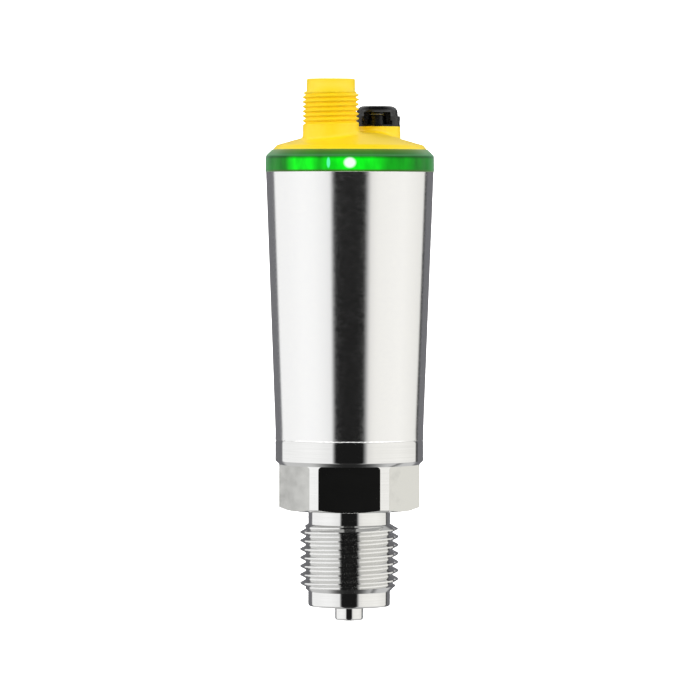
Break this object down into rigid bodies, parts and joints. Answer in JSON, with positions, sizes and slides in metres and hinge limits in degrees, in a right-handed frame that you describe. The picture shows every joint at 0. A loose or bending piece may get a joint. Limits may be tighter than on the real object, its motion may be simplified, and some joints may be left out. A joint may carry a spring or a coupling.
{
  "type": "pressure transmitter",
  "caption": "Pressure transmitter with a threaded steel process fitting, tapered steel housing, green light ring and yellow plug head.",
  "frame": {"origin": "centre of the sealing face under the hexagon", "axes": "+Z along the housing up to the plug; -Y is the front, where the plug stands off the middle; +X is to the right"},
  "size_m": [0.036, 0.036, 0.1154],
  "materials": {
    "stainless": "turned and brushed",
    "light_plastic": "clear green moulding, glossy",
    "yellow_plastic": "fine moulded grain",
    "black_plastic": "smooth moulding",
    "seal_rubber": "plain",
    "membrane": "fine porous film",
    "contact_gold": "plated, polished",
    "insert_plastic": "plain",
    "frame_plastic": "plain",
    "circuit_board": "lacquered",
    "chip_plastic": "plain",
    "socket_plastic": "plain",
    "flex_film": "smooth film",
    "can_metal": "drawn, satin",
    "coil_core": "sintered",
    "lamp_plastic": "clear moulding"
  },
  "bodies": {
    "root": {"board_header": "chip_plastic", "cap_seal": "seal_rubber", "cell_amplifier": "chip_plastic", "cell_board": "circuit_board", "cell_support": "frame_plastic", "choke_coil": "coil_core", "contact_carrier": "insert_plastic", "contact_pin_1": "contact_gold", "contact_pin_2": "contact_gold", "contact_pin_3": "contact_gold", "contact_pin_4": "contact_gold", "crystal": "can_metal", "electronics_carrier": "frame_plastic", "flex_cable": "flex_film", "head_cap": "yellow_plastic", "housing_tube": "stainless", "lamp_1": "lamp_plastic", "lamp_2": "lamp_plastic", "lamp_3": "lamp_plastic", "lamp_4": "lamp_plastic", "lamp_5": "lamp_plastic", "lamp_6": "lamp_plastic", "lamp_7": "lamp_plastic", "lamp_8": "lamp_plastic", "light_board": "circuit_board", "light_ring": "light_plastic", "lower_flex_socket": "socket_plastic", "main_board": "circuit_board", "microcontroller": "chip_plastic", "output_driver_1": "chip_plastic", "output_driver_2": "chip_plastic", "process_fitting": "stainless", "sensor_cell": "stainless", "storage_capacitor": "can_metal", "surge_suppressor": "chip_plastic", "tube_seal": "seal_rubber", "upper_flex_socket": "socket_plastic", "vent_body": "black_plastic", "vent_cover": "black_plastic", "vent_membrane": "membrane", "vent_seal": "seal_rubber"}
  },
  "joints": []
}
